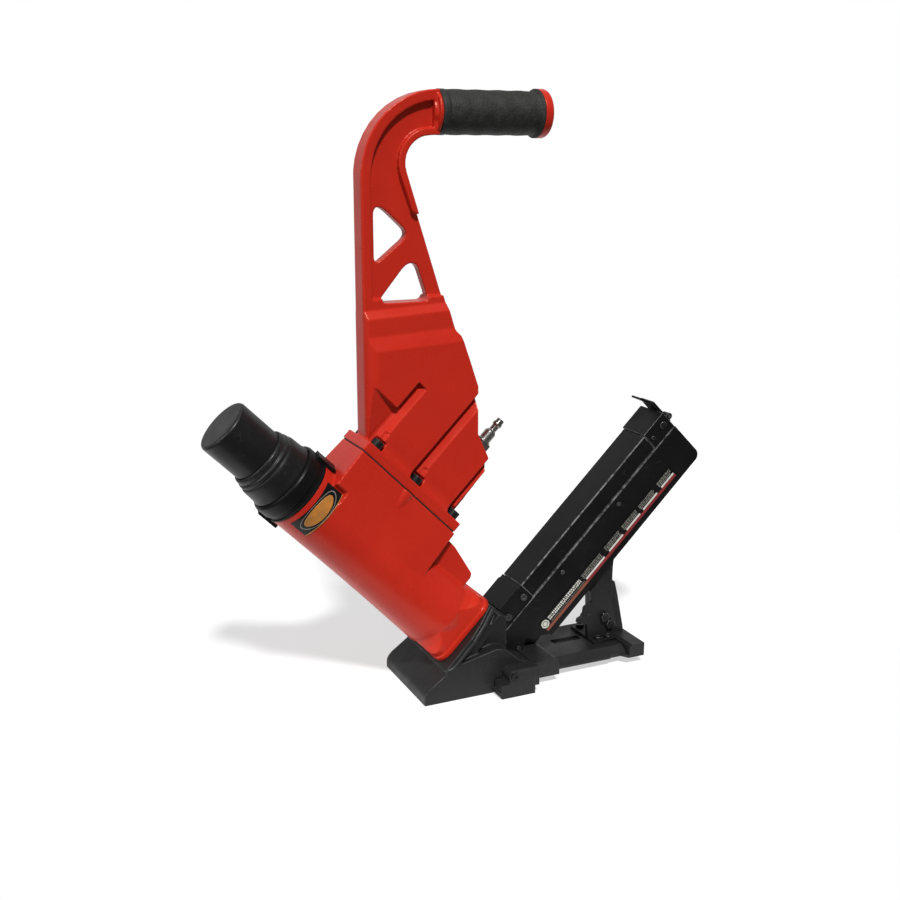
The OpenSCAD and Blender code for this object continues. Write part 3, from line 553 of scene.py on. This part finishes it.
def oval(name, mat, long_deg, short, inner, high):
    """A curved oval plate on the badge: from inner to 1 of its half sizes, high mm proud."""
    centre_deg, centre_s, steps, bands = -93.0, 286.5, 64, 12
    bm = bmesh.new()

    def ring(share, radius):
        row = []
        for k in range(steps):
            t = turn(k, steps)
            a = math.radians(centre_deg + share * long_deg * math.cos(t))
            s = centre_s + share * short * math.sin(t)
            row.append(bm.verts.new(barrel(radius * math.cos(a), radius * math.sin(a), s)))
        return row

    shares = [1 - (1 - inner) * i / bands for i in range(bands + 1)]
    skin(bm, [ring(share, BADGE_R + high) for share in shares]
         + [ring(share, BADGE_R + SKIM) for share in reversed(shares)], True)
    finished(bm, name, mat, True)


def badge_marks(m):
    """A gilt line along the badge's lower edge, and its two ovals."""
    first_deg, sweep_deg, steps = -137.0, 87.0, 48
    under, over, edge_low, edge_high = BADGE_R - 0.3, BADGE_R + 0.12, 277.1, 277.9
    bm = bmesh.new()
    rings = []
    for k in range(steps + 1):
        a = math.radians(first_deg + sweep_deg * k / steps)
        rings.append([bm.verts.new(barrel(r * math.cos(a), r * math.sin(a), s)) for r, s in
                      ((under, edge_low), (over, edge_low), (over, edge_high), (under, edge_high))])
    skin(bm, rings, False)
    finished(bm, "badge_rim", m["print_gold"], True)
    oval("badge_oval", m["print_gold"], 30.0, 6.8, 0.02, 0.12)
    oval("badge_line", m["print_silver"], 37.5, 8.6, 0.955, 0.1)


def ledge_highlight_lines(m):
    """A painted highlight line along the edge of the foot's top plate, on both sides."""
    outline = ((-42.0, 49.9), (0.0, 48.4), (18.5, 43.5), (36.5, 36.0))
    inside, outside, low, high = -0.5, 0.12, 79.6, 80.25
    section = ((inside, low), (outside, low), (outside, high), (inside, high))
    for side, name in ((-1, "ledge_left"), (1, "ledge_right")):
        bm = bmesh.new()
        skin(bm, [[bm.verts.new(barrel(d + u, side * (y + u), s)) for u, s in section]
                  for d, y in outline], False)
        finished(bm, name, m["wear_and_sheen"])


# ---------------------------------------------------------------- studio
def backdrop_light():
    """A room that is white to the eye, dim as a light, and mirrored brighter from behind the object."""
    world = bpy.data.worlds.new("studio")
    SCENE.world = world
    world.use_nodes = True
    tree = world.node_tree
    back = tree.nodes["Background"]
    back.inputs[0].default_value = (1.0, 1.0, 1.0, 1)
    coord = tree.nodes.new("ShaderNodeTexCoord")
    facing = tree.nodes.new("ShaderNodeVectorMath")
    facing.operation = "DOT_PRODUCT"
    facing.inputs[1].default_value = VIEW
    tree.links.new(coord.outputs["Generated"], facing.inputs[0])
    path = tree.nodes.new("ShaderNodeLightPath")
    strength = None
    for ray, (low, high) in (("Is Glossy Ray", ROOM_MIRRORED), ("Is Camera Ray", (1.0, 1.0))):
        ramp = tree.nodes.new("ShaderNodeMapRange")
        ramp.interpolation_type = "SMOOTHSTEP"
        for socket, value in (("From Min", 0.1), ("From Max", 0.8), ("To Min", low), ("To Max", high)):
            ramp.inputs[socket].default_value = value
        tree.links.new(facing.outputs["Value"], ramp.inputs["Value"])
        mix = tree.nodes.new("ShaderNodeMix")
        tree.links.new(path.outputs[ray], mix.inputs[0])
        tree.links.new(ramp.outputs["Result"], mix.inputs[3])
        if strength is None:
            mix.inputs[2].default_value = ROOM_FILL
        else:
            tree.links.new(strength, mix.inputs[2])
        strength = mix.outputs[0]
    tree.links.new(strength, back.inputs[1])


def sun(name, energy, spread, towards):
    data = bpy.data.lights.new(name, "SUN")
    data.energy = energy
    data.angle = math.radians(spread)
    obj = bpy.data.objects.new(name, data)
    SCENE.collection.objects.link(obj)
    obj.rotation_euler = (-Vector(towards)).to_track_quat("-Z", "Y").to_euler()


def floor():
    (x0, x1), (y0, y1) = FLOOR_X, FLOOR_Y
    bm = bmesh.new()
    bm.faces.new([bm.verts.new((x, y, 0.0)) for x, y in ((x0, y0), (x1, y0), (x1, y1), (x0, y1))])
    mesh = bpy.data.meshes.new("floor")
    bm.to_mesh(mesh)
    bm.free()
    obj = bpy.data.objects.new("floor", mesh)
    SCENE.collection.objects.link(obj)
    g = Graph("floor_paper")
    tone = g.mix(g.ramp(g.noise(3.0), 0.3, 0.7), (0.46, 0.46, 0.46), (0.45, 0.45, 0.452))
    g.link(tone, g.bsdf.inputs["Base Color"])
    g.put("Roughness", 0.9)
    g.put("Specular IOR Level", 0.0)
    g.put("Emission Color", (1.0, 1.0, 1.0, 1.0))
    g.put("Emission Strength", FLOOR_GLOW)
    mesh.materials.append(g.mat)


def main():
    make_camera()
    m = {}
    for group in (painted, rubbery, metallic, printed):
        group(m)
    for build in (main_pieces, grip, label, badge_marks, ledge_highlight_lines):
        build(m)
    backdrop_light()
    for light in SUNS:
        sun(*light)
    floor()
    SCENE.view_settings.view_transform = "Standard"


main()
